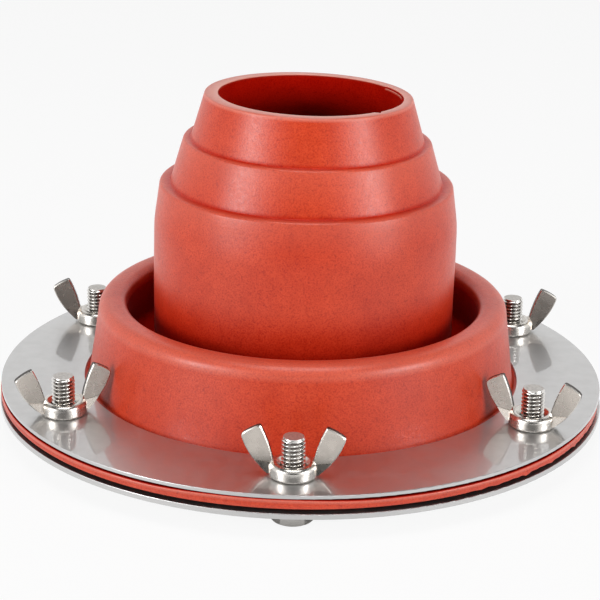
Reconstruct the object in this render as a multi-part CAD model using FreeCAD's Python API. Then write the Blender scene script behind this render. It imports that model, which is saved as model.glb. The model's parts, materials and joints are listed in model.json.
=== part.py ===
"""Pipe flashing boot: a stepped silicone boot whose flange is clamped between two steel ring plates.

Six M6 hexagon bolts come up from below and carry square-wing nuts on the top plate.
Millimetres, +Z up, the pipe's axis on Z, and z = 0 at the undersides of the bolt heads.
"""
import FreeCAD, Part
import math
import os

# ---------------------------------------------------------------- driving dimensions

# Stepped cone of the boot, from the lip outwards and downwards
LIP_BORE_R = 23.5          # radius of the opening that grips the pipe
LIP_BORE_L = 8.0           # straight length of that opening
LIP_FACE_W = 3.35          # width of the flat end face around the opening
RING_TAPER = 0.3           # how much rings 1 and 2 widen for each millimetre of height
RING_1_H = 11.6            # height of the ring under the lip
RING_2_H = 11.2
RING_3_H = 45.2            # height of the tall ring above the moat's floor
SHOULDER_1_W = 1.85        # flat step between rings 1 and 2
SHOULDER_2_W = 2.75        # flat step between rings 2 and 3
RING_3_CROWN_W = 1.5       # how far the crown of ring 3 leans in
RING_3_CROWN_H = 10.0      # height over which it leans in
RING_3_CROWN_ROUND = 30.0  # soft bend from the crown to the straight wall
CONE_WALL = 3.0            # rubber thickness of the rings and of the moat's floor

# Folded collar around the foot of the cone
MOAT_W = 7.1               # width of the open moat between ring 3 and the collar
MOAT_FLOOR_H = 8.5         # height of the moat's floor above the flange
COLLAR_W = 7.2             # width of the collar at its top
COLLAR_H = 22.4            # height of the collar above the flange
COLLAR_FLARE = 2.9         # how much the collar's outer wall widens down to the flange
COLLAR_WALL = 2.7
COLLAR_OUTER_ROUND = 3.0
COLLAR_INNER_ROUND = 2.4
COLLAR_FOOT_ROUND = 0.9    # fillet between the collar and the flange

# Small roundings of the moulding
EDGE_ROUND = 0.8           # outer edges of the lip and of the shoulders
CREASE_ROUND = 0.5         # inner corners at the foot of each ring
MOAT_ROUND = 1.5

# Flange of the boot
FLANGE_T = 2.5
LAND_T = 1.1               # raised pad under the flange that the lower plate presses on
LAND_INSET = 3.6           # how far the pad stays back from the flange's edge
FLANGE_OVERHANG = 0.3      # how far the rubber stands out past the top plate
FLANGE_EDGE_ROUND = 0.4

# Ring plates
TOP_PLATE_T = 1.0
BOTTOM_PLATE_T = 1.4
PLATE_HOLE_CLEARANCE = 0.15     # around the collar's foot
PLATE_MARGIN = 11.5             # from the bolt circle to the top plate's rim
BOTTOM_PLATE_OVERHANG = 0.4
PLATE_EDGE_ROUND = 0.15

# Hexagon bolts, M6 x 16
BOLT_COUNT = 6
FIRST_BOLT_DEG = -91.15
BOLT_R = 2.94              # outside of the thread
BOLT_L = 16.0              # from under the head to the end
BOLT_END_CHAMFER = 0.68
HEAD_FLATS = 10.0
HEAD_H = 5.4               # taller than the standard's 4 mm
HEAD_CHAMFER_DEG = 30.0
HEAD_FACE_SHARE = 0.9      # round bearing face of the head, as a share of its flats
HEAD_TURNS_DEG = (0.0, 12.0, 25.0, 0.0, 35.0, 48.0)    # how each head happens to stand
BOLT_HOLE_PLAY = 0.36      # around the bolt in the plates
RUBBER_HOLE_PLAY = 0.16    # around the bolt in the flange

# Square-wing nuts
BOSS_R = 5.9
BOSS_H = 3.6
BOSS_TOP_ROUND = 1.1
BOSS_FOOT_CHAMFER = 0.3
THREAD_PLAY = 0.05         # running clearance around the bolt
COUNTERSINK_R = 3.5
WING_SPAN = 25.0           # over both wing tips
WING_TIP_H = 10.1          # height of the outer tips
WING_TOP_H = 12.7          # height of the inner tips
WING_TOP_X = 7.9           # from the axis to the inner tips
WING_TIP_BULGE = 0.25      # how far the tip edge bows out
WING_WAIST_X = 5.9         # where the inner edge bows towards the bolt
WING_WAIST_H = 8.0
WING_ROOT_X = 4.7          # where the inner edge meets the boss
WING_ROOT_SINK = 0.3       # how deep the wings' inner edges run into the top of the boss
WING_ELBOW_X = 10.2        # where the outer edge bows outwards
WING_ELBOW_H = 5.0
WING_FOOT_X = 6.1          # where the outer edge meets the boss
WING_FOOT_H = 0.65
WING_T = 1.6
FLARE_TOP_X = 4.9          # crease where the flat wing starts to flare into the boss
FLARE_TOP_H = 4.3
FLARE_FOOT_X = 6.6
FLARE_FOOT_H = 1.2
FLARE_T = 4.6              # thickness of the flare inside the boss
FLARE_DEPTH = 1.6          # from the crease to that thickness
WING_EDGE_BEVEL = 0.3
WING_CORNER_ROUND = 0.4
WING_SWEEP_CLEARANCE = 0.5      # between the turning wings and the collar
WING_TURNS_DEG = (-4.5, -21.0, 1.0, 0.0, 2.5, 21.0)     # how far each nut is turned

# ---------------------------------------------------------------- derived sizes

# Heights
BOTTOM_PLATE_Z = HEAD_H
LAND_Z = BOTTOM_PLATE_Z + BOTTOM_PLATE_T
FLANGE_Z = LAND_Z + LAND_T
TOP_PLATE_Z = FLANGE_Z + FLANGE_T
NUT_SEAT_Z = TOP_PLATE_Z + TOP_PLATE_T
MOAT_FLOOR_Z = TOP_PLATE_Z + MOAT_FLOOR_H
COLLAR_TOP_Z = TOP_PLATE_Z + COLLAR_H
SHOULDER_2_Z = MOAT_FLOOR_Z + RING_3_H
SHOULDER_1_Z = SHOULDER_2_Z + RING_2_H
LIP_Z = SHOULDER_1_Z + RING_1_H

# Radii of the boot
LIP_R = LIP_BORE_R + LIP_FACE_W
RING_1_FOOT_R = LIP_R + RING_TAPER * RING_1_H
RING_2_TOP_R = RING_1_FOOT_R + SHOULDER_1_W
RING_2_FOOT_R = RING_2_TOP_R + RING_TAPER * RING_2_H
RING_3_TOP_R = RING_2_FOOT_R + SHOULDER_2_W
RING_3_R = RING_3_TOP_R + RING_3_CROWN_W
COLLAR_INNER_R = RING_3_R + MOAT_W
COLLAR_TOP_R = COLLAR_INNER_R + COLLAR_W
COLLAR_FOOT_R = COLLAR_TOP_R + COLLAR_FLARE

# Bolt circle and plates
COLLAR_R_AT_WING_TIP = COLLAR_FOOT_R - COLLAR_FLARE * (TOP_PLATE_T + WING_TIP_H) / COLLAR_H
BOLT_CIRCLE_R = COLLAR_R_AT_WING_TIP + WING_SWEEP_CLEARANCE + WING_SPAN / 2
PLATE_HOLE_R = COLLAR_FOOT_R + COLLAR_FOOT_ROUND + PLATE_HOLE_CLEARANCE
TOP_PLATE_R = BOLT_CIRCLE_R + PLATE_MARGIN
BOTTOM_PLATE_R = TOP_PLATE_R + BOTTOM_PLATE_OVERHANG
FLANGE_R = TOP_PLATE_R + FLANGE_OVERHANG

# Height where a wing's inner edge ends, within the boss
WING_ROOT_H = BOSS_H - WING_ROOT_SINK

AXIS = FreeCAD.Vector(0, 0, 1)
ORIGIN = FreeCAD.Vector(0, 0, 0)


# ---------------------------------------------------------------- helpers

def rounded_outline(corners):
    """Closed wire through corners given as (x, z, round radius), in the XZ plane."""
    points = [FreeCAD.Vector(x, 0, z) for x, z, _ in corners]
    count = len(corners)
    starts, ends, arcs = [], [], []
    for i, point in enumerate(points):
        to_last = (points[i - 1] - point).normalize()
        to_next = (points[(i + 1) % count] - point).normalize()
        half_angle = to_last.getAngle(to_next) / 2
        radius = corners[i][2]
        if radius == 0:
            starts.append(point)
            ends.append(point)
            arcs.append(None)
            continue
        setback = radius / math.tan(half_angle)
        start = point + to_last * setback
        end = point + to_next * setback
        bisector = (to_last + to_next).normalize()
        middle = point + bisector * (radius / math.sin(half_angle) - radius)
        starts.append(start)
        ends.append(end)
        arcs.append(Part.Arc(start, middle, end).toShape())
    edges = []
    for i in range(count):
        if arcs[i]:
            edges.append(arcs[i])
        edges.append(Part.LineSegment(ends[i], starts[(i + 1) % count]).toShape())
    return Part.Wire(edges)


def turned(corners):
    """Solid of revolution about Z from corners given as (radius, z, round radius)."""
    return Part.Face(rounded_outline(corners)).revolve(ORIGIN, AXIS, 360)


def cylinder(radius, low_z, high_z):
    return Part.makeCylinder(radius, high_z - low_z, FreeCAD.Vector(0, 0, low_z), AXIS)


def bolt_angle(index):
    return FIRST_BOLT_DEG + index * 360 / BOLT_COUNT


def at_bolt(shape, index, own_turn_deg):
    """Copy of a shape made about the Z axis, turned about itself and moved to its bolt."""
    placed = shape.copy()
    placed.rotate(ORIGIN, AXIS, own_turn_deg)
    angle = math.radians(bolt_angle(index))
    placed.translate(FreeCAD.Vector(math.cos(angle), math.sin(angle), 0) * BOLT_CIRCLE_R)
    return placed


def with_bolt_holes(shape, radius, low_z, high_z):
    drill = cylinder(radius, low_z, high_z)
    return shape.cut([at_bolt(drill, index, 0) for index in range(BOLT_COUNT)]).Solids[0]


# ---------------------------------------------------------------- silicone boot

def silicone_boot():
    """One moulding: stepped cone, moat, folded collar and flange, all of one wall's thickness."""
    outside = [
        (LIP_BORE_R, LIP_Z, EDGE_ROUND / 2),
        (LIP_R, LIP_Z, EDGE_ROUND),
        (RING_1_FOOT_R, SHOULDER_1_Z, CREASE_ROUND),
        (RING_2_TOP_R, SHOULDER_1_Z, EDGE_ROUND),
        (RING_2_FOOT_R, SHOULDER_2_Z, CREASE_ROUND),
        (RING_3_TOP_R, SHOULDER_2_Z, EDGE_ROUND),
        (RING_3_R, SHOULDER_2_Z - RING_3_CROWN_H, RING_3_CROWN_ROUND),
        (RING_3_R, MOAT_FLOOR_Z, MOAT_ROUND),
        (COLLAR_INNER_R, MOAT_FLOOR_Z, MOAT_ROUND),
        (COLLAR_INNER_R, COLLAR_TOP_Z, COLLAR_INNER_ROUND),
        (COLLAR_TOP_R, COLLAR_TOP_Z, COLLAR_OUTER_ROUND),
        (COLLAR_FOOT_R, TOP_PLATE_Z, COLLAR_FOOT_ROUND),
        (FLANGE_R, TOP_PLATE_Z, FLANGE_EDGE_ROUND),
        (FLANGE_R, FLANGE_Z, FLANGE_EDGE_ROUND),
        (FLANGE_R - LAND_INSET, FLANGE_Z, 0),
        (FLANGE_R - LAND_INSET, LAND_Z, 0),
    ]
    inside = [
        (COLLAR_FOOT_R - COLLAR_WALL, LAND_Z, 0),
        (COLLAR_TOP_R - COLLAR_WALL, COLLAR_TOP_Z - COLLAR_WALL, CREASE_ROUND),
        (COLLAR_INNER_R + COLLAR_WALL, COLLAR_TOP_Z - COLLAR_WALL, CREASE_ROUND),
        (COLLAR_INNER_R + COLLAR_WALL, MOAT_FLOOR_Z - CONE_WALL, MOAT_ROUND),
        (RING_3_R - CONE_WALL, MOAT_FLOOR_Z - CONE_WALL, MOAT_ROUND),
        (RING_3_R - CONE_WALL, SHOULDER_2_Z - RING_3_CROWN_H, RING_3_CROWN_ROUND - CONE_WALL),
        (RING_3_TOP_R - CONE_WALL, SHOULDER_2_Z - CONE_WALL, CREASE_ROUND),
        (RING_2_FOOT_R - CONE_WALL, SHOULDER_2_Z - CONE_WALL, EDGE_ROUND),
        (RING_2_TOP_R - CONE_WALL, SHOULDER_1_Z - CONE_WALL, CREASE_ROUND),
        (RING_1_FOOT_R - CONE_WALL, SHOULDER_1_Z - CONE_WALL, CREASE_ROUND),
        (LIP_BORE_R, LIP_Z - LIP_BORE_L, CREASE_ROUND),
    ]
    moulding = turned(outside + inside)
    return with_bolt_holes(moulding, BOLT_R + RUBBER_HOLE_PLAY, LAND_Z - 1, TOP_PLATE_Z + 1)


# ---------------------------------------------------------------- ring plates

def ring_plate(outer_r, low_z, thickness):
    """Flat stamped ring with lightly broken edges and a clearance hole for each bolt."""
    high_z = low_z + thickness
    ring = turned([
        (PLATE_HOLE_R, low_z, PLATE_EDGE_ROUND),
        (outer_r, low_z, PLATE_EDGE_ROUND),
        (outer_r, high_z, PLATE_EDGE_ROUND),
        (PLATE_HOLE_R, high_z, PLATE_EDGE_ROUND),
    ])
    return with_bolt_holes(ring, BOLT_R + BOLT_HOLE_PLAY, low_z - 1, high_z + 1)


# ---------------------------------------------------------------- hexagon bolt

def hex_bolt():
    """Bolt standing on its head: chamfered hexagon below, plain shank with a chamfered end."""
    corner_r = HEAD_FLATS / 2 / math.cos(math.radians(30))
    corners = [
        FreeCAD.Vector(corner_r * math.cos(math.radians(a)), corner_r * math.sin(math.radians(a)), 0)
        for a in range(0, 361, 60)
    ]
    hexagon = Part.Face(Part.makePolygon(corners)).extrude(AXIS * HEAD_H)
    face_r = HEAD_FLATS / 2 * HEAD_FACE_SHARE
    chamfer_h = (corner_r - face_r) * math.tan(math.radians(HEAD_CHAMFER_DEG))
    chamfer = turned([
        (0, 0, 0), (face_r, 0, 0), (corner_r, chamfer_h, 0), (corner_r, HEAD_H, 0), (0, HEAD_H, 0),
    ])
    end_z = HEAD_H + BOLT_L
    shank = turned([
        (0, HEAD_H, 0),
        (BOLT_R, HEAD_H, 0),
        (BOLT_R, end_z - BOLT_END_CHAMFER, 0),
        (BOLT_R - BOLT_END_CHAMFER, end_z, 0),
        (0, end_z, 0),
    ])
    return hexagon.common(chamfer).fuse(shank).removeSplitter().Solids[0]


# ---------------------------------------------------------------- square-wing nut

def wing_blade():
    """Upright leaf-shaped blade of the wing on the +X side, with bevelled edges."""
    def corner(x, z):
        return FreeCAD.Vector(x, -WING_T / 2, z)

    root = corner(WING_ROOT_X, WING_ROOT_H)
    top = corner(WING_TOP_X, WING_TOP_H)
    tip = corner(WING_SPAN / 2, WING_TIP_H)
    foot = corner(WING_FOOT_X, WING_FOOT_H)
    foot_inside = corner(0, WING_FOOT_H)
    root_inside = corner(0, WING_ROOT_H)
    tip_edge = (tip - top).normalize()
    tip_middle = (top + tip) / 2 + FreeCAD.Vector(-tip_edge.z, 0, tip_edge.x) * WING_TIP_BULGE
    outline = Part.Wire([
        Part.LineSegment(root_inside, root).toShape(),
        Part.Arc(root, corner(WING_WAIST_X, WING_WAIST_H), top).toShape(),
        Part.Arc(top, tip_middle, tip).toShape(),
        Part.Arc(tip, corner(WING_ELBOW_X, WING_ELBOW_H), foot).toShape(),
        Part.LineSegment(foot, foot_inside).toShape(),
        Part.LineSegment(foot_inside, root_inside).toShape(),
    ])
    blade = Part.Face(outline).extrude(FreeCAD.Vector(0, WING_T, 0))
    tip_corners = [
        edge for edge in blade.Edges
        if edge.BoundBox.YLength > WING_T / 2 and edge.BoundBox.ZMin > WING_ELBOW_H
    ]
    blade = blade.makeFillet(WING_CORNER_ROUND, tip_corners)
    free_edges = [
        edge for edge in blade.Edges
        if edge.BoundBox.YLength < WING_T / 2 and edge.BoundBox.ZMax > BOSS_H
    ]
    return blade.makeChamfer(WING_EDGE_BEVEL, free_edges)


def wing_flare():
    """Facets by which the wing on the +X side widens, from its crease to inside the boss."""
    thin = WING_T / 2
    thick = FLARE_T / 2
    top_inside = FLARE_TOP_X - FLARE_DEPTH
    foot_inside = FLARE_FOOT_X - FLARE_DEPTH

    def corners(side):
        return [
            FreeCAD.Vector(FLARE_TOP_X, side * thin, FLARE_TOP_H),
            FreeCAD.Vector(FLARE_FOOT_X, side * thin, FLARE_FOOT_H),
            FreeCAD.Vector(foot_inside, side * thick, WING_FOOT_H),
            FreeCAD.Vector(top_inside, side * thick, WING_ROOT_H),
        ]

    front, back = corners(-1), corners(1)
    facets = []
    for top, foot, foot_in, top_in in (front, back):
        facets.append([top, foot, foot_in])
        facets.append([top, foot_in, top_in])
    for i in range(4):
        j = (i + 1) % 4
        facets.append([front[i], front[j], back[j], back[i]])
    faces = [Part.Face(Part.makePolygon(facet + facet[:1])) for facet in facets]
    return Part.Solid(Part.Shell(faces))


def wing_nut():
    """Cast nut: round boss with two wings; its foot is at z = 0."""
    bore_r = BOLT_R + THREAD_PLAY
    sink = COUNTERSINK_R - bore_r
    boss = turned([
        (0, 0, 0),
        (BOSS_R - BOSS_FOOT_CHAMFER, 0, 0),
        (BOSS_R, BOSS_FOOT_CHAMFER, 0),
        (BOSS_R, BOSS_H, BOSS_TOP_ROUND),
        (0, BOSS_H, 0),
    ])
    pieces = []
    for side in (0, 180):
        for piece in (wing_blade(), wing_flare()):
            piece.rotate(ORIGIN, AXIS, side)
            pieces.append(piece)
    threaded_hole = turned([
        (0, -1, 0),
        (COUNTERSINK_R + 1, -1, 0),
        (bore_r, sink, 0),
        (bore_r, BOSS_H - sink, 0),
        (COUNTERSINK_R, BOSS_H, 0),
        (COUNTERSINK_R, WING_TOP_H, 0),
        (0, WING_TOP_H, 0),
    ])
    return boss.fuse(pieces).removeSplitter().cut(threaded_hole).Solids[0]


# ---------------------------------------------------------------- assembly

def build():
    """Every sub-part, in place, by the name of its node."""
    nodes = {
        "silicone_boot": silicone_boot(),
        "top_ring_plate": ring_plate(TOP_PLATE_R, TOP_PLATE_Z, TOP_PLATE_T),
        "bottom_ring_plate": ring_plate(BOTTOM_PLATE_R, BOTTOM_PLATE_Z, BOTTOM_PLATE_T),
    }
    bolt = hex_bolt()
    nut = wing_nut()
    nut.translate(AXIS * NUT_SEAT_Z)
    for index in range(BOLT_COUNT):
        number = index + 1
        nodes[f"hex_bolt_{number}"] = at_bolt(bolt, index, HEAD_TURNS_DEG[index])
        nodes[f"wing_nut_{number}"] = at_bolt(nut, index, WING_TURNS_DEG[index])
    return nodes


os.makedirs("parts", exist_ok=True)
for name, solid in build().items():
    solid.exportStep(f"parts/{name}.step")
    print(name, solid.ShapeType, solid.isValid(), round(solid.Volume, 1))
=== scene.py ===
"""Looks of the pipe flashing boot: moulded red silicone between polished ring plates.

Lengths are in millimetres until a mesh is made, and metres in Blender.
Azimuths are in degrees about the pipe's axis, from +X towards +Y.
"""

import json
import math
import random

import bmesh
import bpy
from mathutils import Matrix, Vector, noise


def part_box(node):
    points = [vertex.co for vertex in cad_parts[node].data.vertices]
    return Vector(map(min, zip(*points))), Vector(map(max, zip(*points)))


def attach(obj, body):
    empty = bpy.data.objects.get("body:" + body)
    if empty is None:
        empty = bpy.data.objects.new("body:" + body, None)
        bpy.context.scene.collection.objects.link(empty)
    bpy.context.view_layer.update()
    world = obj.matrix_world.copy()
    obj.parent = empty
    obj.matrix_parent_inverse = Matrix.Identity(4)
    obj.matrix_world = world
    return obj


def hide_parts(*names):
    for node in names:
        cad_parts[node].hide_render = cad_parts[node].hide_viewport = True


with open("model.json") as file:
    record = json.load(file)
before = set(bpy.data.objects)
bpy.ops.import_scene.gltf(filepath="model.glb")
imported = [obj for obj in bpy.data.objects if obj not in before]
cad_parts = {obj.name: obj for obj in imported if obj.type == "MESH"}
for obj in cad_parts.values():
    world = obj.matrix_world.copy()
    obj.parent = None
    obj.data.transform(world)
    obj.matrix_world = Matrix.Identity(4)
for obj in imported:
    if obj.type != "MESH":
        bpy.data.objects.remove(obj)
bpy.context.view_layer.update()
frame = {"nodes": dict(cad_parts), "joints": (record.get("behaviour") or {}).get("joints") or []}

MM = 0.001
BODY = "clamped_boot"

# ------------------------------------------------------------------ sizes that the frame gives


def low_z(node):
    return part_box(node)[0].z / MM


def high_z(node):
    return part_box(node)[1].z / MM


PLATE_TOP = high_z("top_ring_plate")
FLANGE_TOP = low_z("top_ring_plate")
BOTTOM_PLATE_Z = low_z("bottom_ring_plate")
BOTTOM_PLATE_TOP = high_z("bottom_ring_plate")
BOLT_END = high_z("hex_bolt_1")
LIP_TOP = high_z("silicone_boot")
FLANGE_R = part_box("silicone_boot")[1].y / MM
BOLT_SPOTS = {
    int(joint["child"].split("_")[1]): Vector(joint["pos_m"]) / MM for joint in frame["joints"]
}


# ------------------------------------------------------------------ numbers and meshes

def clamp(value):
    return min(1.0, max(0.0, value))


def soft_step(value):
    value = clamp(value)
    return value * value * (3 - 2 * value)


def mix(low, high, share):
    return low + (high - low) * share


def new_object(name, data):
    piece = bpy.data.objects.new(name, data)
    bpy.context.scene.collection.objects.link(piece)
    return piece


def mesh_object(name, points, faces):
    """Smooth-shaded object from points in millimetres."""
    mesh = bpy.data.meshes.new(name)
    mesh.from_pydata([Vector(p) * MM for p in points], [], faces)
    mesh.validate()
    mesh.shade_smooth()
    return new_object(name, mesh)


def ring_faces(rows, columns, closed_rows):
    """Quads between rows of points that each run once around an axis."""
    faces = []
    row_pairs = rows if closed_rows else rows - 1
    for row in range(row_pairs):
        below = row * columns
        above = (row + 1) % rows * columns
        for column in range(columns):
            side = (column + 1) % columns
            faces.append((below + column, below + side, above + side, above + column))
    return faces


def rounded_outline(corners, arc_step_deg, run_step):
    """Points of a closed outline of (radius, z, round radius) corners, each with its place.

    A place of 3.25 is a quarter of the way along the straight run from corner 3 to corner 4.
    """
    count = len(corners)
    stretches = []
    for i, (r, z, round_radius) in enumerate(corners):
        here = Vector((r, z))
        if round_radius == 0:
            stretches.append([here])
            continue
        to_last = (Vector(corners[i - 1][:2]) - here).normalized()
        to_next = (Vector(corners[(i + 1) % count][:2]) - here).normalized()
        half_angle = to_last.angle(to_next) / 2
        centre = here + (to_last + to_next).normalized() * (round_radius / math.sin(half_angle))
        start = here + to_last * (round_radius / math.tan(half_angle)) - centre
        end = here + to_next * (round_radius / math.tan(half_angle)) - centre
        sweep = start.angle_signed(end)
        steps = max(2, math.ceil(abs(math.degrees(sweep)) / arc_step_deg))
        stretches.append([centre + turned(start, -sweep * step / steps) for step in range(steps + 1)])
    points = []
    for i in range(count):
        points += [(point, float(i)) for point in stretches[i]]
        run_start = stretches[i][-1]
        run_end = stretches[(i + 1) % count][0]
        runs = max(1, round((run_end - run_start).length / run_step))
        points += [(run_start.lerp(run_end, run / runs), i + run / runs) for run in range(1, runs)]
    return points


def turned(arm, angle):
    """A flat vector turned anticlockwise."""
    cos, sin = math.cos(angle), math.sin(angle)
    return Vector((arm.x * cos - arm.y * sin, arm.x * sin + arm.y * cos))


def dress(piece, body, node, materials):
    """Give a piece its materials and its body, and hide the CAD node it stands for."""
    for material in materials:
        piece.data.materials.append(material)
    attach(piece, body)
    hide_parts(node)


# ------------------------------------------------------------------ materials

def new_material(name):
    material = bpy.data.materials.new(name)
    material.use_nodes = True
    nodes = material.node_tree.nodes
    return material, nodes, material.node_tree.links, nodes["Principled BSDF"]


def grain(nodes, links, scale, detail=2.0, stretch=(1, 1, 1)):
    """Noise in object space; scale counts features in a metre."""
    texture = nodes.new("ShaderNodeTexNoise")
    texture.inputs["Scale"].default_value = scale
    texture.inputs["Detail"].default_value = detail
    mapping = nodes.new("ShaderNodeMapping")
    mapping.inputs["Scale"].default_value = stretch
    place = nodes.new("ShaderNodeTexCoord")
    links.new(place.outputs["Object"], mapping.inputs["Vector"])
    links.new(mapping.outputs["Vector"], texture.inputs["Vector"])
    return texture.outputs["Fac"]


def ramp(nodes, links, value, stops):
    """Colour ramp with (position, colour) stops; a colour may be a single grey number."""
    node = nodes.new("ShaderNodeValToRGB")
    elements = node.color_ramp.elements
    while len(elements) < len(stops):
        elements.new(0.5)
    for element, (position, colour) in zip(elements, stops):
        element.position = position
        element.color = (*colour, 1.0) if isinstance(colour, tuple) else (colour, colour, colour, 1.0)
    links.new(value, node.inputs["Fac"])
    return node.outputs["Color"]


def multiply(nodes, links, colour_a, colour_b):
    node = nodes.new("ShaderNodeMix")
    node.data_type = "RGBA"
    node.blend_type = "MULTIPLY"
    node.inputs["Factor"].default_value = 1.0
    links.new(colour_a, node.inputs["A"])
    links.new(colour_b, node.inputs["B"])
    return node.outputs["Result"]


def bump(nodes, links, value, depth, shader):
    node = nodes.new("ShaderNodeBump")
    node.inputs["Strength"].default_value = 1.0
    node.inputs["Distance"].default_value = depth * MM
    links.new(value, node.inputs["Height"])
    links.new(node.outputs["Normal"], shader.inputs["Normal"])


def point_value(nodes, name):
    """A number that the mesh gives to each of its points."""
    node = nodes.new("ShaderNodeAttribute")
    node.attribute_name = name
    return node.outputs["Fac"]


def linear(nodes, links, value, slope, start):
    """value * slope + start, kept between 0 and 1."""
    node = nodes.new("ShaderNodeMath")
    node.operation = "MULTIPLY_ADD"
    node.use_clamp = True
    links.new(value, node.inputs[0])
    node.inputs[1].default_value = slope
    node.inputs[2].default_value = start
    return node.outputs[0]


def silicone():
    """Satin moulded rubber: mottled red, with painted pale sheen where edges and faces catch the light, and
    painted shade, dark and dull, in hollows, creases and under the flange.
    """
    material, nodes, links, shader = new_material("silicone_red")
    mottle = ramp(nodes, links, grain(nodes, links, 260.0, 4.0), [
        (0.35, (0.58, 0.047, 0.012)), (0.65, (0.63, 0.056, 0.016)),
    ])
    specks = ramp(nodes, links, grain(nodes, links, 2600.0, 4.0), [
        (0.34, (0.80, 0.55, 0.50)), (0.50, 1.0), (0.68, (1.06, 1.35, 1.45)),
    ])
    scuffs = ramp(nodes, links, grain(nodes, links, 1100.0, 5.0), [(0.29, (0.78, 0.56, 0.52)), (0.40, 1.0)])
    stains = ramp(nodes, links, grain(nodes, links, 45.0, 4.0), [(0.36, (0.92, 0.80, 0.78)), (0.52, 1.0)])
    worn = multiply(nodes, links, scuffs, stains)
    moulded_red = multiply(nodes, links, multiply(nodes, links, mottle, specks), worn)
    # painted sheen: pale pink mixed in from the mesh's stored value, for the bright sheen on the lip face,
    # shoulder edges, collar top and flange rim
    pale = nodes.new("ShaderNodeMix")
    pale.data_type = "RGBA"
    pale.inputs["B"].default_value = (0.86, 0.36, 0.28, 1.0)
    links.new(moulded_red, pale.inputs["A"])
    links.new(point_value(nodes, "painted_sheen"), pale.inputs["Factor"])
    # painted shade: a darker, deeper red from the mesh's stored value, in the bore, moat, creases and the
    # groove under the flange
    dark = ramp(nodes, links, point_value(nodes, "painted_shade"), [
        (0.0, 1.0), (0.5, (0.76, 0.12, 0.10)), (1.0, (0.07, 0.02, 0.02)),
    ])
    links.new(multiply(nodes, links, pale.outputs["Result"], dark), shader.inputs["Base Color"])
    satin = ramp(nodes, links, grain(nodes, links, 900.0, 2.0), [(0.3, 0.32), (0.7, 0.40)])
    links.new(satin, shader.inputs["Roughness"])
    # painted shade also takes the gloss away there
    links.new(linear(nodes, links, point_value(nodes, "painted_shade"), -1.0, 0.5),
              shader.inputs["Specular IOR Level"])
    shader.inputs["IOR"].default_value = 1.46
    shader.inputs["Sheen Weight"].default_value = 0.03
    shader.inputs["Sheen Roughness"].default_value = 0.3
    shader.inputs["Sheen Tint"].default_value = (1.0, 0.9, 0.86, 1.0)
    bump(nodes, links, grain(nodes, links, 2200.0, 3.0), 0.04, shader)
    return material


def steel(name, colour, dark, rough_low, rough_high, scale, depth):
    """Stainless steel whose tint, roughness and fine relief vary a little."""
    material, nodes, links, shader = new_material(name)
    relief = grain(nodes, links, scale, 3.0)
    tint = ramp(nodes, links, relief, [(0.3, tuple(dark * c for c in colour)), (0.6, colour)])
    links.new(tint, shader.inputs["Base Color"])
    rough = ramp(nodes, links, relief, [(0.3, rough_high), (0.7, rough_low)])
    links.new(rough, shader.inputs["Roughness"])
    shader.inputs["Metallic"].default_value = 1.0
    bump(nodes, links, relief, depth, shader)
    return material


def thread_steel():
    """Bright steel with painted shade: dark where the mesh's stored value says it is deep in a thread, and
    darker over the head.
    """
    material, nodes, links, shader = new_material("bolt_steel")
    tint = ramp(nodes, links, point_value(nodes, "painted_thread_shade"), [
        (0.0, (0.78, 0.76, 0.73)), (0.5, (0.66, 0.64, 0.61)), (1.0, (0.17, 0.15, 0.14)),
    ])
    links.new(tint, shader.inputs["Base Color"])
    relief = grain(nodes, links, 1200.0, 2.0)
    rough = ramp(nodes, links, relief, [(0.3, 0.13), (0.7, 0.22)])
    links.new(rough, shader.inputs["Roughness"])
    shader.inputs["Metallic"].default_value = 1.0
    bump(nodes, links, relief, 0.004, shader)
    return material


def plate_steel():
    """Rolled steel: a soft haze under a sharper gloss."""
    material = steel("plate_steel", (0.52, 0.515, 0.51), 0.97, 0.39, 0.46, 300.0, 0.0004)
    shader = material.node_tree.nodes["Principled BSDF"]
    shader.inputs["Coat Weight"].default_value = 1.0
    shader.inputs["Coat IOR"].default_value = 1.88
    shader.inputs["Coat Roughness"].default_value = 0.045
    return material


RED_SILICONE = silicone()
PLATE_STEEL = plate_steel()
BOLT_STEEL = thread_steel()
CAST_STEEL = steel("cast_steel", (0.58, 0.53, 0.48), 0.90, 0.22, 0.32, 420.0, 0.018)
EDGE_STEEL = steel("edge_steel", (0.66, 0.63, 0.59), 0.90, 0.22, 0.30, 700.0, 0.003)
# painted shade: near-black steel for the wings' side walls, standing in for the dark reflections there
PAINTED_SHADE_SIDE_STEEL = steel("painted_shade_side_steel", (0.09, 0.08, 0.072), 0.7, 0.30, 0.42, 1100.0, 0.006)
SAWN_STEEL = steel("sawn_steel", (0.60, 0.58, 0.55), 0.80, 0.42, 0.55, 1500.0, 0.02)


# ------------------------------------------------------------------ silicone boot

BORE_R = 23.5
BORE_L = 8.0
LIP_FACE_W = 3.35
RING_1_H = 11.6
RING_2_H = 11.2
RING_3_H = 45.2
RING_TAPER = 0.3            # widening for each millimetre down
SHOULDER_1_W = 1.85
SHOULDER_2_W = 2.75
RING_3_SWELL = 1.5          # how much wider ring 3 gets below its crown
MOAT_W = 7.1
COLLAR_W = 7.0
COLLAR_H = 22.4
COLLAR_SPREAD = 3.1         # how much wider the collar is at its foot
LAND_INSET = 3.6
LIP_R = BORE_R + LIP_FACE_W
SHOULDER_1_Z = LIP_TOP - RING_1_H
SHOULDER_2_Z = SHOULDER_1_Z - RING_2_H
MOAT_FLOOR_Z = SHOULDER_2_Z - RING_3_H
RING_1_FOOT_R = LIP_R + RING_TAPER * (LIP_TOP - SHOULDER_1_Z)
RING_2_TOP_R = RING_1_FOOT_R + SHOULDER_1_W
RING_2_FOOT_R = RING_2_TOP_R + RING_TAPER * (SHOULDER_1_Z - SHOULDER_2_Z)
RING_3_TOP_R = RING_2_FOOT_R + SHOULDER_2_W
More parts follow.
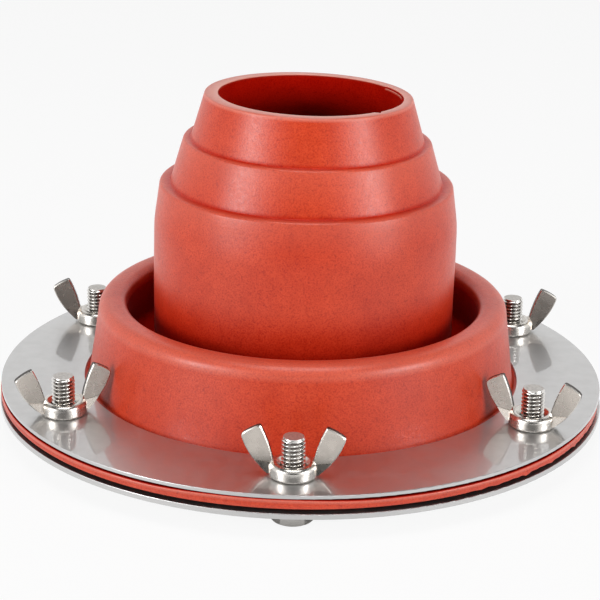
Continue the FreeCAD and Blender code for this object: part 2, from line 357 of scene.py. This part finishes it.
RING_3_R = RING_3_TOP_R + RING_3_SWELL
CROWN_H = 10.0
CROWN_ROUND = 30.0
COLLAR_TOP_Z = FLANGE_TOP + COLLAR_H
COLLAR_INNER_R = RING_3_R + MOAT_W
COLLAR_TOP_R = COLLAR_INNER_R + COLLAR_W
COLLAR_FOOT_R = COLLAR_TOP_R + COLLAR_SPREAD
FLANGE_T = 2.5
FLANGE_Z = FLANGE_TOP - FLANGE_T
LAND_R = FLANGE_R - LAND_INSET
WALL = 3.0
COLLAR_WALL = 2.7
AROUND = 480

CONE_LEAN_LOW = 0.4         # how far the cone stands off centre along X, at its foot
CONE_LEAN_HIGH = 0.8        # and at the lip
COLLAR_LEAN = 0.2
BORE_LEAN = 0.35            # how far the opening stands off the lip's centre
BORE_WEAR = 0.25            # how far the opening has widened at its edge
BORE_WEAR_L = 3.0
LIP_TILT_DEG = 1.2          # down towards +X
LIP_NOD_DEG = 0.63          # down towards +Y
LIP_RAISE = 0.5
TILT_FROM_Z = SHOULDER_2_Z - 10.0
WAVINESS = 0.12
WAVE_SCALE = 0.06           # noise cells for each millimetre
RIPPLE_SCALE = 4.0          # radius, in noise cells, of the ring that ripples are read on
REBATE_W = 0.75             # where the lip's inner edge has torn away
REBATE_H = 0.8
REBATE_FROM_DEG = -45.0
REBATE_TO_DEG = 35.0
TEAR_START_DEG = 2.0        # how far the tear takes to reach its full width
TEAR_END_DEG = 3.0
NOTCH_W_DEG = 2.4           # a nick where the tear begins
NOTCH_DEPTH = 1.4
STRIP_FROM_DEG = 4.0        # torn strip left hanging under the edge, up to the end of the tear
STRIP_START_DEG = 4.0
STRIP_HALF_W = 0.12
STRIP_T = 0.15
# painted pale sheen on the torn strip
STRIP_SHEEN = 0.55
STRIP_H = 0.25
RIM_W = 1.5                 # outermost strip of the flange, which sags from the plate
RIM_SAG = 0.5
RIM_HOLLOW = 0.2
RIM_SAG_LEAST = 0.15        # share of the sag that stays where the rim is tight
RIM_TIGHT_DEG = -97.0       # where it doesn't sag
RIM_TIGHT_HALF_DEG = 6.0
RIM_TIGHT_FADE_DEG = 14.0
RIM_SHORT_DEG = -14.0       # where it falls short of the plate's edge
RIM_SHORT_FADE_DEG = 30.0
RIM_SHORT_BY = 0.45
RIM_SHORT_LEAST = 0.1
RIM_RIPPLE = 0.12
FLASH_DEG = -40.0           # where the flange's lower edge is ragged
FLASH_HALF_DEG = 12.0
FLASH_FADE_DEG = 12.0
FLASH_H = 0.75
FLASH_SCALE = 0.55          # teeth for each degree
FLASH_BITE = 0.4            # how far a tooth may go the other way, as a share of FLASH_H


def boot_section():
    """Corners of the moulding's section, from the lip's inner edge outwards.

    Each is (radius, z, round radius, how much painted shade, how much painted pale sheen).
    """
    trough_z = MOAT_FLOOR_Z - WALL
    under_collar = COLLAR_TOP_Z - COLLAR_WALL
    return [
        (BORE_R + REBATE_W, LIP_TOP, 0.15, 0, 0.9),
        (LIP_R, LIP_TOP, 0.5, 0, 0.35),
        (LIP_R + RING_TAPER, LIP_TOP - 1.0, 0, 0, 0),
        (RING_1_FOOT_R - RING_TAPER, SHOULDER_1_Z + 1.0, 0, 0, 0),
        (RING_1_FOOT_R, SHOULDER_1_Z, 0.4, 0.3, 0),
        (RING_2_TOP_R, SHOULDER_1_Z, 0.7, 0, 0.1),
        (RING_2_FOOT_R - RING_TAPER, SHOULDER_2_Z + 1.0, 0, 0, 0),
        (RING_2_FOOT_R, SHOULDER_2_Z, 0.4, 0.3, 0),
        (RING_3_TOP_R, SHOULDER_2_Z, 0.8, 0, 0.1),
        (RING_3_R, SHOULDER_2_Z - CROWN_H, CROWN_ROUND, 0, 0),
        (RING_3_R, COLLAR_TOP_Z + 9.0, 0, 0, 0),
        (RING_3_R, COLLAR_TOP_Z - 3.0, 0, 0.4, 0),
        (RING_3_R, MOAT_FLOOR_Z, 1.5, 0.6, 0),
        (COLLAR_INNER_R, MOAT_FLOOR_Z, 1.5, 0.7, 0),
        (COLLAR_INNER_R, COLLAR_TOP_Z - 4.0, 0, 0.6, 0),
        (COLLAR_INNER_R, COLLAR_TOP_Z, 2.0, 0.05, 0.05),
        (COLLAR_TOP_R, COLLAR_TOP_Z, 3.0, 0, 0.15),
        (COLLAR_TOP_R + 0.5, COLLAR_TOP_Z - 4.0, 0, 0, 0),
        (COLLAR_FOOT_R, FLANGE_TOP, 0.9, 0.1, 0),
        # painted shade: the groove between the flange's rim and the plates is stored fully dark
        (FLANGE_R - RIM_W, FLANGE_TOP, 0, 1, 0),
        (FLANGE_R - 0.3, FLANGE_TOP, 0, 0.9, 0),
        (FLANGE_R, FLANGE_TOP - 0.3, 0.2, 0, 0.3),
        (FLANGE_R - RIM_HOLLOW, FLANGE_Z + FLANGE_T / 2, 0.6, 0, 0),
        (FLANGE_R, FLANGE_Z, 0.3, 0.1, 0.1),
        (FLANGE_R - RIM_W, FLANGE_Z, 0, 1, 0),
        (LAND_R, FLANGE_Z, 0, 1, 0),
        (LAND_R, BOTTOM_PLATE_TOP, 0, 1, 0),
        (COLLAR_FOOT_R - COLLAR_WALL, BOTTOM_PLATE_TOP, 0, 0.3, 0),
        (COLLAR_TOP_R - COLLAR_WALL, under_collar, 0.5, 0.6, 0),
        (COLLAR_INNER_R + COLLAR_WALL, under_collar, 0.5, 0.6, 0),
        (COLLAR_INNER_R + COLLAR_WALL, trough_z, 1.5, 0.3, 0),
        (RING_3_R - WALL, trough_z, 1.5, 0.3, 0),
        (RING_3_R - WALL, SHOULDER_2_Z - CROWN_H, CROWN_ROUND - WALL, 0.7, 0),
        (RING_3_TOP_R - WALL, SHOULDER_2_Z - WALL, 0.5, 1, 0),
        (RING_2_FOOT_R - WALL, SHOULDER_2_Z - WALL, 0.8, 1, 0),
        (BORE_R, LIP_TOP - BORE_L, 5.0, 0.6, 0),
        (BORE_R, LIP_TOP - BORE_WEAR_L, 0, 0.5, 0),
        (BORE_R + BORE_WEAR - 0.02, LIP_TOP - REBATE_H - 0.35, 0, 0.5, 0),
        (BORE_R + BORE_WEAR, LIP_TOP - REBATE_H, 0.1, 0.5, 0),
        (BORE_R + REBATE_W, LIP_TOP - REBATE_H, 0, 0.5, 0),
        (BORE_R + REBATE_W, LIP_TOP - 0.3, 0, 0.45, 0.1),
    ]


def give_points(piece, name, values):
    """Store one number at each point of a mesh."""
    attribute = piece.data.attributes.new(name, "FLOAT", "POINT")
    attribute.data.foreach_set("value", values)


def off_by(azimuth, centre_deg):
    """Degrees between an azimuth and a direction, whichever way round is shorter."""
    return abs((azimuth - centre_deg + 180) % 360 - 180)


def rebate_share(azimuth):
    """1 where the lip's inner edge has torn away, and 0 where it is whole."""
    start = soft_step((azimuth - REBATE_FROM_DEG) / TEAR_START_DEG)
    end = soft_step((REBATE_TO_DEG - azimuth) / TEAR_END_DEG)
    return start * end


def strip_share(r, z, azimuth):
    """1 on the torn strip, which lies on the inner corner of the tear's ledge."""
    if abs(r - BORE_R - BORE_WEAR) > STRIP_HALF_W or z < LIP_TOP - REBATE_H - STRIP_T:
        return 0.0
    start = soft_step((azimuth - STRIP_FROM_DEG) / STRIP_START_DEG)
    end = soft_step((REBATE_TO_DEG - azimuth) / TEAR_END_DEG)
    return start * end


def uneven_rim(r, z, azimuth, ripple):
    """Outermost strip of the flange: it sags, falls short and carries flash in places."""
    outward = (r - (FLANGE_R - RIM_W)) / RIM_W
    short = 1 - soft_step(off_by(azimuth, RIM_SHORT_DEG) / RIM_SHORT_FADE_DEG)
    r -= outward * (RIM_SHORT_LEAST + RIM_SHORT_BY * short + RIM_RIPPLE * ripple)
    if z > FLANGE_Z + FLANGE_T / 2:
        loose = soft_step((off_by(azimuth, RIM_TIGHT_DEG) - RIM_TIGHT_HALF_DEG) / RIM_TIGHT_FADE_DEG)
        return r, z - outward * RIM_SAG * mix(RIM_SAG_LEAST, 1, loose)
    ragged = 1 - soft_step((off_by(azimuth, FLASH_DEG) - FLASH_HALF_DEG) / FLASH_FADE_DEG)
    tooth = noise.noise(Vector((azimuth * FLASH_SCALE, 0.0, 5.0)))
    return r, z - outward * ragged * FLASH_H * max(-FLASH_BITE, tooth)


def moulded(r, z, azimuth):
    """Place of a section point at an azimuth, with the real moulding's unevenness."""
    angle = math.radians(azimuth)
    direction = Vector((math.cos(angle), math.sin(angle), 0))
    ripple = noise.noise(direction * RIPPLE_SCALE)
    tearable = (r - BORE_R - BORE_WEAR) / (REBATE_W - BORE_WEAR)
    if 0 < tearable < 1.4 and z > LIP_TOP - REBATE_H - 0.01:
        nick = 1 - soft_step(off_by(azimuth, REBATE_FROM_DEG) / NOTCH_W_DEG)
        kept = 0.95 * (REBATE_W - BORE_WEAR) * (1 - rebate_share(azimuth))
        r += min(1.0, tearable) * (NOTCH_DEPTH * nick - kept)
    z += STRIP_H * strip_share(r, z, azimuth)
    if r > FLANGE_R - RIM_W:
        r, z = uneven_rim(r, z, azimuth, ripple)
    spot = direction * r + Vector((0, 0, z))
    if z > FLANGE_TOP:
        spot += direction * (WAVINESS * noise.noise(spot * WAVE_SCALE))
    height = clamp((z - COLLAR_TOP_Z) / (LIP_TOP - COLLAR_TOP_Z))
    in_cone = 1 - soft_step((r - RING_3_R - 1) / (COLLAR_INNER_R - RING_3_R - 2))
    collar_lean = COLLAR_LEAN * clamp((z - FLANGE_TOP) / (COLLAR_TOP_Z - FLANGE_TOP))
    lean = mix(collar_lean, mix(CONE_LEAN_LOW, CONE_LEAN_HIGH, height), in_cone)
    in_bore = clamp((LIP_R - 1 - r) / (LIP_R - 1 - BORE_R)) * clamp((z - LIP_TOP + BORE_L + 3) / 3)
    spot.x += lean + BORE_LEAN * in_bore
    high = clamp((z - TILT_FROM_Z) / (LIP_TOP - TILT_FROM_Z))
    slope_x, slope_y = (math.tan(math.radians(a)) for a in (LIP_TILT_DEG, LIP_NOD_DEG))
    spot.z += high * (LIP_RAISE - spot.x * slope_x - spot.y * slope_y)
    return spot


def boot():
    """One closed moulding, with its painted shade and painted pale sheen stored at each point."""
    corners = boot_section()
    section = rounded_outline([corner[:3] for corner in corners], arc_step_deg=15.0, run_step=2.2)
    azimuths = [360 * column / AROUND - 180 for column in range(AROUND)]
    points = [moulded(r, z, azimuth) for (r, z), _ in section for azimuth in azimuths]
    piece = mesh_object("silicone_moulding", points, ring_faces(len(section), AROUND, True))
    piece.data.set_sharp_from_angle(angle=math.radians(50))
    # stores the painted shade and painted pale sheen, read from the section's corners
    for name, column, on_strip in (("painted_shade", 3, 0.0), ("painted_sheen", 4, STRIP_SHEEN)):
        values = []
        for (r, z), place in section:
            low = corners[int(place)][column]
            high = corners[(int(place) + 1) % len(corners)][column]
            value = mix(low, high, place % 1)
            values += [mix(value, on_strip, strip_share(r, z, azimuth)) for azimuth in azimuths]
        give_points(piece, name, values)
    dress(piece, BODY, "silicone_boot", [RED_SILICONE])


# ------------------------------------------------------------------ bolts

THREAD_R = 2.94
PITCH = 1.0
THREAD_DEPTH = 0.62
CREST = 0.16               # share of the pitch that is flat at the crest
ROOT = 0.2                 # share that is flat at the root
END_R = 2.5                # radius of the end face
END_TAPER = 0.6            # how much the end widens for each millimetre down
PLAIN_END_L = 0.05         # stretch without thread under the end face
RUN_OUT_L = 0.4            # and over which the thread then reaches its depth
END_EDGE_W = 0.25
THREAD_START_H = 0.5       # above the top of the head
CENTRE_R = 0.02            # small flat that closes each end face
SAWN_ZONE = 0.5            # how far down from the end its upward faces are sawn
HEAD_FLATS = 10.0
HEAD_FACE_R = 4.5
HEAD_CHAMFER_DEG = 30.0
HEAD_SHADE = 0.6             # painted shade: the head's steel is painted darker than the thread's flanks
# how far heads 1 to 6 are turned
HEAD_TURNS_DEG = (0.0, 12.0, 25.0, 0.0, 35.0, 48.0)
BOLT_AROUND = 72
ROWS_PER_PITCH = 16


def depth_in_thread(phase):
    """How deep the thread is cut at a share of one pitch, from 0 on the crest to 1 at the root."""
    flank = (1 - CREST - ROOT) / 2
    if phase < CREST:
        return 0.0
    if phase < CREST + flank:
        return (phase - CREST) / flank
    if phase < CREST + flank + ROOT:
        return 1.0
    return (1 - phase) / flank


def hexagon_radius(angle):
    return HEAD_FLATS / 2 / math.cos(angle % (math.pi / 3) - math.pi / 6)


def bolt(number, centre):
    """Hexagon bolt with a real helical thread, standing on its head."""
    angles = [2 * math.pi * column / BOLT_AROUND for column in range(BOLT_AROUND)]
    hexagon = [hexagon_radius(angle) for angle in angles]
    chamfer_slope = math.tan(math.radians(HEAD_CHAMFER_DEG))
    rows = [
        [(CENTRE_R, 0.0, HEAD_SHADE)] * BOLT_AROUND,
        [(HEAD_FACE_R, 0.0, HEAD_SHADE)] * BOLT_AROUND,
        [(r, (r - HEAD_FACE_R) * chamfer_slope, HEAD_SHADE) for r in hexagon],
        [(r, BOTTOM_PLATE_Z, HEAD_SHADE) for r in hexagon],
        [(THREAD_R, BOTTOM_PLATE_Z, 0.0)] * BOLT_AROUND,
    ]
    thread_start = BOTTOM_PLATE_Z + THREAD_START_H
    count = round((BOLT_END - thread_start) / PITCH * ROWS_PER_PITCH)
    for row in range(count + 1):
        z = mix(thread_start, BOLT_END, row / count)
        below_end = BOLT_END - z
        cut = soft_step((below_end - PLAIN_END_L) / RUN_OUT_L)
        line = []
        for angle in angles:
            depth = cut * depth_in_thread((z / PITCH - angle / (2 * math.pi)) % 1)
            line.append((min(THREAD_R - THREAD_DEPTH * depth, END_R + END_TAPER * below_end), z, depth))
        rows.append(line)
    rows.append([(END_R - END_EDGE_W, BOLT_END, 0.0)] * BOLT_AROUND)
    rows.append([(CENTRE_R, BOLT_END, 0.0)] * BOLT_AROUND)
    turn = math.radians(HEAD_TURNS_DEG[number - 1])
    points = [
        (centre.x + r * math.cos(angle + turn), centre.y + r * math.sin(angle + turn), z)
        for row in rows for angle, (r, z, _) in zip(angles, row)
    ]
    faces = ring_faces(len(rows), BOLT_AROUND, False)
    faces.append(tuple(reversed(range(BOLT_AROUND))))
    last = (len(rows) - 1) * BOLT_AROUND
    faces.append(tuple(range(last, last + BOLT_AROUND)))
    piece = mesh_object(f"threaded_bolt_{number}", points, faces)
    piece.data.set_sharp_from_angle(angle=math.radians(28))
    # painted shade: dark in the thread roots and over the head
    give_points(piece, "painted_thread_shade", [depth for row in rows for _, _, depth in row])
    for polygon in piece.data.polygons:
        on_end = polygon.normal.z > 0.9 and polygon.center.z > (BOLT_END - SAWN_ZONE) * MM
        polygon.material_index = int(on_end)
    dress(piece, BODY, f"hex_bolt_{number}", [BOLT_STEEL, SAWN_STEEL])


# ------------------------------------------------------------------ wing nuts

BOSS_R = 5.9
BOSS_H = 3.6
NUT_BORE_R = 2.99
COUNTERSINK_R = 3.5
FUNNEL_R = 4.15             # the dished top opening round the bolt
FUNNEL_H = 1.0
WING_HALF_SPAN = 12.5
WING_TOP = (7.9, 12.7)
WING_TIP = (WING_HALF_SPAN, 10.1)
WING_WAIST = (5.9, 8.0)
WING_ROOT = (4.7, 3.3)
WING_ELBOW = (10.2, 5.0)
WING_FOOT = (6.1, 0.65)
WING_INSIDE = ((4.6, 0.9), (4.2, 2.4))     # where the wing ends within the boss
WING_T = 1.6
BEVEL_W = 0.26
BEVEL_DEPTH = 0.22
FLARE_TOP = (4.9, 4.3)
FLARE_FOOT = (6.6, 1.2)
FLARE_T = 4.6
FLARE_DEPTH = (0.6, 1.6)    # how far it reaches in at its top and at its foot
# how far nuts 1 to 6 are turned
WING_TURNS_DEG = (-4.5, -21.0, 1.0, 0.0, 2.5, 21.0)
GUSSET_TOP_Z = 4.3          # below this the wing thickens towards its foot
GUSSET_SLOPE = 0.34
TIP_BULGE = (0.13, 0.22)    # how far the wing's outer end is bowed
TOP_SETBACK = 0.4
TIP_SETBACKS = (0.45, 0.9)
CASTING_JITTER = 0.012
FLUSH = 0.01                # how far the gusset starts under the blade's face
CAST, EDGE, SIDE = 0, 1, 2  # places of the nut's materials; SIDE is near-black steel, painted shade on the wings' side walls
BOSS_AROUND = 96


def arc_through(start, middle, end, steps):
    """Points from start to just before end on the circle through three (x, z) points."""
    a, b, c = Vector(start), Vector(middle), Vector(end)
    chord_1, chord_2 = b - a, c - b
    mid_1, mid_2 = (a + b) / 2, (b + c) / 2
    cross = chord_1.x * chord_2.y - chord_1.y * chord_2.x
    along = (mid_2 - mid_1).dot(chord_2) / cross
    centre = mid_1 + Vector((-chord_1.y, chord_1.x)) * along
    sweep = -(a - centre).angle_signed(c - centre)
    return [centre + turned(a - centre, sweep * step / steps) for step in range(steps)]


def softened(points, corner, setback):
    """The outline with one of its corners cut to a small round."""
    i = min(range(len(points)), key=lambda k: (points[k] - Vector(corner)).length)
    here = points[i]
    before = here + (points[i - 1] - here).normalized() * setback
    after = here + (points[(i + 1) % len(points)] - here).normalized() * setback
    middle = (before + after + here * 2) / 4
    return points[:i] + [before, middle, after] + points[i + 1:]


def wing_outline(dice):
    """Leaf-shaped outline of one wing, with a caster's small irregularities."""
    bulge = (Vector(WING_TOP) + Vector(WING_TIP)) / 2 + Vector(TIP_BULGE)
    points = arc_through(WING_ROOT, WING_WAIST, WING_TOP, 9)
    points += arc_through(WING_TOP, bulge, WING_TIP, 5)
    points += arc_through(WING_TIP, WING_ELBOW, WING_FOOT, 11)
    points += [Vector(WING_FOOT)] + [Vector(p) for p in WING_INSIDE]
    points = softened(points, WING_TOP, TOP_SETBACK)
    points = softened(points, WING_TIP, dice.uniform(*TIP_SETBACKS))
    for point in points[1:-4]:
        point += Vector((dice.uniform(-1, 1), dice.uniform(-1, 1))) * CASTING_JITTER
    return points


def inset_outline(points, distance):
    """The same outline moved inwards."""
    count = len(points)
    moved = []
    for i in range(count):
        run = (points[(i + 1) % count] - points[i - 1]).normalized()
        moved.append(points[i] + Vector((run.y, -run.x)) * distance)
    return moved


def part_of_nut(name, points, faces, finishes):
    """One closed mesh of the nut, in millimetres about its own axis, with each face's finish."""
    piece = mesh_object(name, points, faces)
    for material in (CAST_STEEL, EDGE_STEEL, PAINTED_SHADE_SIDE_STEEL):
        piece.data.materials.append(material)
    for polygon, finish in zip(piece.data.polygons, finishes):
        polygon.material_index = finish
    return piece


def slab(name, side, layers, finishes):
    """Closed mesh through outlines that lie across the wing at given half thicknesses."""
    points = [(side * p.x, side * y, p.y) for outline, half_t in layers for p in outline
              for y in [half_t(p) if callable(half_t) else half_t]]
    count = len(layers[0][0])
    faces = [tuple(reversed(face)) for face in ring_faces(len(layers), count, False)]
    finish_list = [finishes[i // count] for i in range(len(faces))]
    faces.append(tuple(range(count)))
    faces.append(tuple(range(len(layers) * count - 1, (len(layers) - 1) * count - 1, -1)))
    return part_of_nut(name, points, faces, finish_list + [CAST, CAST])


def wing_blade(side, dice):
    """Leaf with bright bevels round both faces, and the gusset that thickens its foot."""
    outline = wing_outline(dice)
    inner = inset_outline(outline, BEVEL_W)
    half = WING_T / 2
    # the side walls between the bevels get the painted-shade steel
    blade = slab("blade", side, [
        (inner, -half), (outline, BEVEL_DEPTH - half), (outline, half - BEVEL_DEPTH), (inner, half),
    ], [EDGE, SIDE, EDGE])
    foot = [p for p in inner if p.y < GUSSET_TOP_Z]
    first, last = inner.index(foot[-1]), inner.index(foot[0])
    crossings = []
    for low, high in ((foot[0], inner[last - 1]), (foot[-1], inner[(first + 1) % len(inner)])):
        crossings.append(low.lerp(high, clamp((GUSSET_TOP_Z - low.y) / (high.y - low.y))))
    foot = [crossings[0]] + foot + [crossings[1]]

    def thick(point):
        return half - FLUSH + GUSSET_SLOPE * (GUSSET_TOP_Z - point.y)

    gusset = slab("gusset", side, [(foot, lambda p: -thick(p)), (foot, thick)], [EDGE])
    return [blade, gusset]


def wing_flare(side):
    """Facets by which the wing widens into the boss."""
    thin, thick = WING_T / 2, FLARE_T / 2
    points = []
    for across in (-1, 1):
        points += [
            (side * FLARE_TOP[0], across * thin, FLARE_TOP[1]),
            (side * FLARE_FOOT[0], across * thin, FLARE_FOOT[1]),
            (side * (FLARE_FOOT[0] - FLARE_DEPTH[1]), across * thick, WING_FOOT[1]),
            (side * (FLARE_TOP[0] - FLARE_DEPTH[0]), across * thick, WING_ROOT[1]),
        ]
    faces = [(0, 1, 2), (0, 2, 3), (4, 6, 5), (4, 7, 6)]
    faces += [(i, 4 + i, 4 + (i + 1) % 4, (i + 1) % 4) for i in range(4)]
    return part_of_nut("flare", points, faces, [CAST] * len(faces))


def nut_boss():
    """Round boss, countersunk below and dished above."""
    section = rounded_outline([
        (NUT_BORE_R, COUNTERSINK_R - NUT_BORE_R, 0),
        (COUNTERSINK_R, 0, 0),
        (BOSS_R, 0, 0.7),
        (BOSS_R, BOSS_H, 1.2),
        (FUNNEL_R, BOSS_H, 0.25),
        (NUT_BORE_R + 0.2, BOSS_H - FUNNEL_H, 0),
    ], arc_step_deg=12.0, run_step=1.5)
    points = [
        (r * math.cos(2 * math.pi * k / BOSS_AROUND), r * math.sin(2 * math.pi * k / BOSS_AROUND), z)
        for (r, z), _ in section for k in range(BOSS_AROUND)
    ]
    faces = ring_faces(len(section), BOSS_AROUND, True)
    return part_of_nut("boss", points, faces, [EDGE] * len(faces))


def outward(piece):
    """Turn every face of a closed mesh outwards."""
    shell = bmesh.new()
    shell.from_mesh(piece.data)
    bmesh.ops.recalc_face_normals(shell, faces=shell.faces)
    shell.to_mesh(piece.data)
    shell.free()


def wing_nut(number, centre):
    """One skin made of the boss, two blades and their flares."""
    dice = random.Random(number)
    boss = nut_boss()
    others = wing_blade(1, dice) + wing_blade(-1, dice) + [wing_flare(1), wing_flare(-1)]
    for piece in [boss] + others:
        outward(piece)
    for other in others:
        step = boss.modifiers.new("joined", "BOOLEAN")
        step.operation = "UNION"
        step.solver = "EXACT"
        step.object = other
    joined = bpy.data.meshes.new_from_object(boss.evaluated_get(bpy.context.evaluated_depsgraph_get()))
    for piece in [boss] + others:
        bpy.data.objects.remove(piece)
    turn = math.radians(WING_TURNS_DEG[number - 1])
    cos, sin = math.cos(turn), math.sin(turn)
    for vertex in joined.vertices:
        x, y, z = vertex.co
        vertex.co = (
            x * cos - y * sin + centre.x * MM, x * sin + y * cos + centre.y * MM, z + PLATE_TOP * MM,
        )
    joined.shade_smooth()
    joined.set_sharp_from_angle(angle=math.radians(24))
    piece = new_object(f"cast_wing_nut_{number}", joined)
    dress(piece, f"nut_{number}", f"wing_nut_{number}", [])


# ------------------------------------------------------------------ build

boot()
for number, centre in BOLT_SPOTS.items():
    bolt(number, centre)
    wing_nut(number, centre)
for name in ("top_ring_plate", "bottom_ring_plate"):
    frame["nodes"][name].data.materials.clear()
    frame["nodes"][name].data.materials.append(PLATE_STEEL)


# ------------------------------------------------------------------ floor, lights and camera

FLOOR_WHITE = 0.9           # how much of the floor is plain white to the eye
FLOOR_SHADED_TO = 0.074     # metres from the axis to which reflections see the real floor
FLOOR_OPEN_AT = 0.084
FLOOR_SIZE = 6.0
AIM_HEIGHT = 0.04           # the height that lamps and cards face
CAMERA_ABOVE_PLATE = 0.1919
CAMERA_Y = -0.48704
CAMERA_TURNS_DEG = (70.533, -0.966, 0.406)
LENS_MM = 116.07
SENSOR_MM = 36.0


def flat_mesh(name, width, tall):
    """Rectangle about the origin that faces up, in metres."""
    mesh = bpy.data.meshes.new(name)
    w, h = width / 2, tall / 2
    mesh.from_pydata([(-w, -h, 0), (w, -h, 0), (w, h, 0), (-w, h, 0)], [], [(0, 1, 2, 3)])
    return mesh


def blend_into(output, nodes, links, share, first, second):
    """Send two shaders to an output, mixed; the share is the second one's."""
    blend = nodes.new("ShaderNodeMixShader")
    links.new(share, blend.inputs["Fac"])
    links.new(first, blend.inputs[1])
    links.new(second, blend.inputs[2])
    links.new(blend.outputs["Shader"], output.inputs["Surface"])


def combined(nodes, links, operation, a, b):
    node = nodes.new("ShaderNodeMath")
    node.operation = operation
    for socket, value in zip(node.inputs, (a, b)):
        if isinstance(value, float):
            socket.default_value = value
        else:
            links.new(value, socket)
    return node.outputs[0]


def seen_by_gloss(nodes, links):
    """1 for reflected and refracted rays, 0 for others."""
    path = nodes.new("ShaderNodeLightPath")
    return combined(nodes, links, "MAXIMUM", path.outputs["Is Glossy Ray"],
                    path.outputs["Is Transmission Ray"])


def seen_by_eye(nodes):
    return nodes.new("ShaderNodeLightPath").outputs["Is Camera Ray"]


def open_floor(nodes, links):
    """0 on the floor under the part, rising to 1 well away from it."""
    place = nodes.new("ShaderNodeTexCoord")
    distance = nodes.new("ShaderNodeVectorMath")
    distance.operation = "LENGTH"
    links.new(place.outputs["Object"], distance.inputs[0])
    spread = FLOOR_OPEN_AT - FLOOR_SHADED_TO
    return linear(nodes, links, distance.outputs["Value"], 1 / spread, -FLOOR_SHADED_TO / spread)


def white_floor():
    """Floor that is nearly white to the eye and keeps the object's shadow."""
    mesh = flat_mesh("floor", FLOOR_SIZE, FLOOR_SIZE)
    floor = new_object("floor", mesh)
    material, nodes, links, shader = new_material("pale_floor")
    shader.inputs["Base Color"].default_value = (0.85, 0.85, 0.85, 1)
    shader.inputs["Roughness"].default_value = 0.9
    glow = nodes.new("ShaderNodeEmission")
    to_gloss = combined(nodes, links, "MULTIPLY", seen_by_gloss(nodes, links), open_floor(nodes, links))
    white = combined(nodes, links, "MAXIMUM", seen_by_eye(nodes), to_gloss)
    share = combined(nodes, links, "MULTIPLY", white, FLOOR_WHITE)
    blend_into(nodes["Material Output"], nodes, links, share, shader.outputs["BSDF"],
               glow.outputs["Emission"])
    mesh.materials.append(material)


def white_world(horizon, zenith):
    """White to eye and gloss; the light that it gives fades from the horizon to the zenith."""
    world = bpy.data.worlds.new("studio")
    bpy.context.scene.world = world
    world.use_nodes = True
    nodes, links = world.node_tree.nodes, world.node_tree.links
    direction = nodes.new("ShaderNodeTexCoord")
    split = nodes.new("ShaderNodeSeparateXYZ")
    links.new(direction.outputs["Generated"], split.inputs["Vector"])
    room = nodes["Background"]
    links.new(ramp(nodes, links, split.outputs["Z"], [(0.05, horizon), (0.7, zenith)]),
              room.inputs["Color"])
    backdrop = nodes.new("ShaderNodeBackground")
    backdrop.inputs["Color"].default_value = (1, 1, 1, 1)
    white = combined(nodes, links, "MAXIMUM", seen_by_eye(nodes), seen_by_gloss(nodes, links))
    blend_into(nodes["World Output"], nodes, links, white, room.outputs["Background"],
               backdrop.outputs["Background"])


def hang(name, data, azimuth_deg, height, distance):
    """Put a lamp or a card around the part, aimed at it; the azimuth is 0 in front, + to the right."""
    azimuth = math.radians(azimuth_deg)
    holder = new_object(name, data)
    holder.location = (distance * math.sin(azimuth), -distance * math.cos(azimuth), height)
    aim = Vector((0, 0, AIM_HEIGHT)) - holder.location
    holder.rotation_euler = aim.to_track_quat("-Z", "Y").to_euler()
    return holder


def softbox(name, azimuth_deg, height, distance, width, tall, watts):
    lamp = bpy.data.lights.new(name, "AREA")
    lamp.shape = "RECTANGLE"
    lamp.size = width
    lamp.size_y = tall
    lamp.energy = watts
    hang(name, lamp, azimuth_deg, height, distance)


def dark_card(name, azimuth_deg, height, distance, width, tall):
    """Black flag that only reflections see; it gives the metal its dark tones."""
    mesh = flat_mesh(name, width, tall)
    material, _, _, shader = new_material(name)
    shader.inputs["Base Color"].default_value = (0.03, 0.03, 0.03, 1)
    shader.inputs["Roughness"].default_value = 1.0
    mesh.materials.append(material)
    card = hang(name, mesh, azimuth_deg, height, distance)
    card.visible_camera = False
    card.visible_diffuse = False
    card.visible_shadow = False


white_floor()
white_world(horizon=0.20, zenith=0.08)
# name, azimuth in degrees, height, distance, width and tall in metres, and a lamp's watts
softbox("left_softbox", -53, 0.22, 0.9, 0.50, 0.60, 2.7)
softbox("right_softbox", 55, 0.22, 0.9, 0.50, 0.60, 2.5)
softbox("left_key", -57, 0.26, 0.88, 0.18, 0.30, 2.4)
softbox("right_key", 58, 0.26, 0.88, 0.18, 0.30, 2.2)
softbox("top_softbox", 0, 0.9, 0.15, 0.50, 0.50, 3.4)
dark_card("front_flag", 0, 0.35, 1.3, 1.2, 1.0)
dark_card("ceiling_flag", 0, 1.2, 0.01, 2.0, 2.0)

camera_data = bpy.data.cameras.new("camera")
camera_data.sensor_width = SENSOR_MM
camera_data.lens = LENS_MM
camera_data.clip_start = 0.01
camera = new_object("camera", camera_data)
camera.location = (0.0, CAMERA_Y, PLATE_TOP * MM + CAMERA_ABOVE_PLATE)
camera.rotation_euler = [math.radians(a) for a in CAMERA_TURNS_DEG]
bpy.context.scene.camera = camera
bpy.context.scene.view_settings.view_transform = "Standard"
